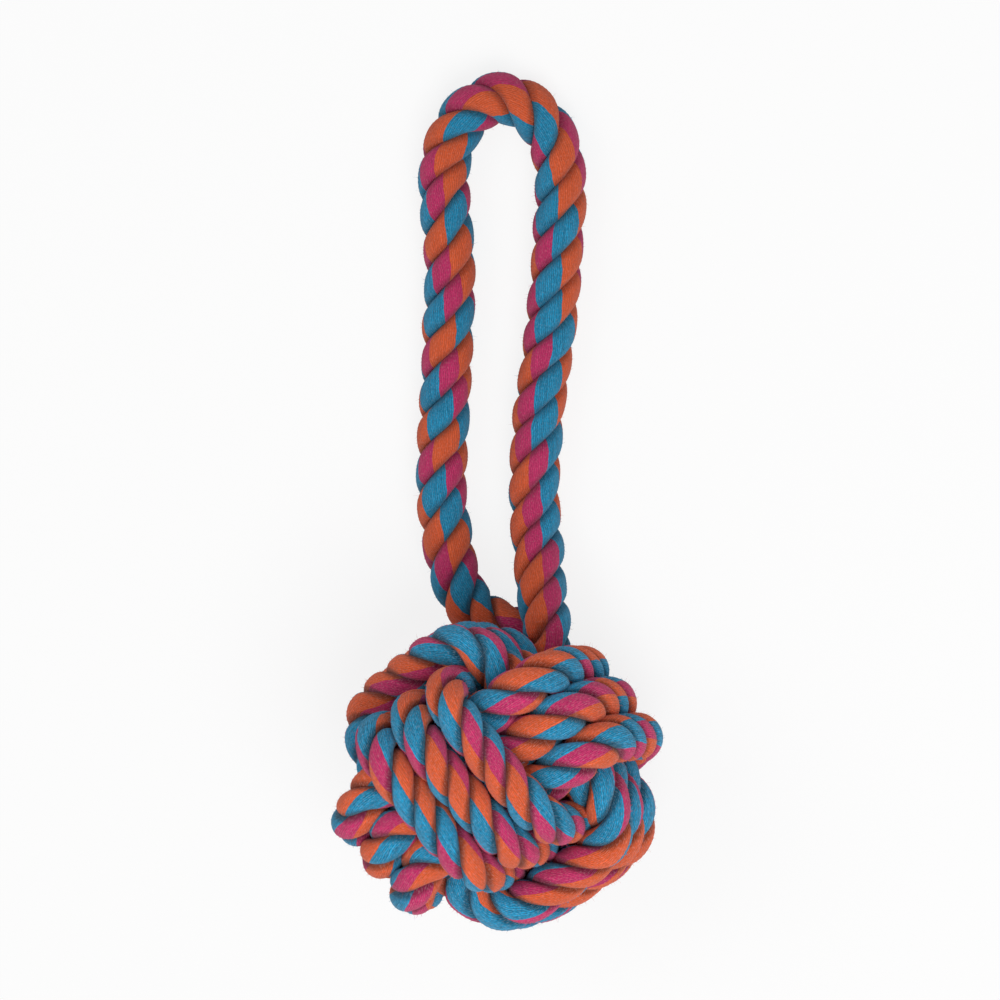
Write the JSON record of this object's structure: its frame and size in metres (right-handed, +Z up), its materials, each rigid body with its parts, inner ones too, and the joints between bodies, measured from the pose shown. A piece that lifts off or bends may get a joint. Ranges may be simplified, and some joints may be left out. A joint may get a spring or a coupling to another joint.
{
  "type": "rope dog toy",
  "caption": "Knotted rope ball with a long hand loop, tied from one multicoloured laid cotton rope, for throwing, tugging and chewing.",
  "frame": {"origin": "on the floor, at the flat of the middle turn that the ball rests on", "axes": "+Z up from the floor, +Y from the ball towards the end of the hand loop, as the toy lies"},
  "size_m": [0.1098, 0.2907, 0.1051],
  "materials": {
    "rope": "matt cotton yarn in teal, orange and magenta",
    "core": "matt cotton, out of sight"
  },
  "bodies": {
    "ball": {"core_knot": "core", "first_winding": "rope", "second_winding": "rope", "third_winding": "rope"},
    "neck": {"root_left": "rope", "root_right": "rope"},
    "lower_loop": {"leg_left": "rope", "leg_right": "rope"},
    "upper_loop": {"loop_top": "rope"}
  },
  "joints": [
    {"name": "handle_sway", "type": "hinge", "parent": "ball", "child": "neck", "pos_m": [-0.00729, 0.04238, 0.0084], "axis": [0, 0, 1], "range_deg": [-15, 15]},
    {"name": "handle_swing", "type": "hinge", "parent": "neck", "child": "lower_loop", "pos_m": [-0.00729, 0.07488, 0.0084], "axis": [1, 0, 0], "range_deg": [-45, 45]},
    {"name": "handle_fold", "type": "hinge", "parent": "lower_loop", "child": "upper_loop", "pos_m": [-0.00729, 0.14288, 0.0084], "axis": [1, 0, 0], "range_deg": [-45, 45]}
  ]
}
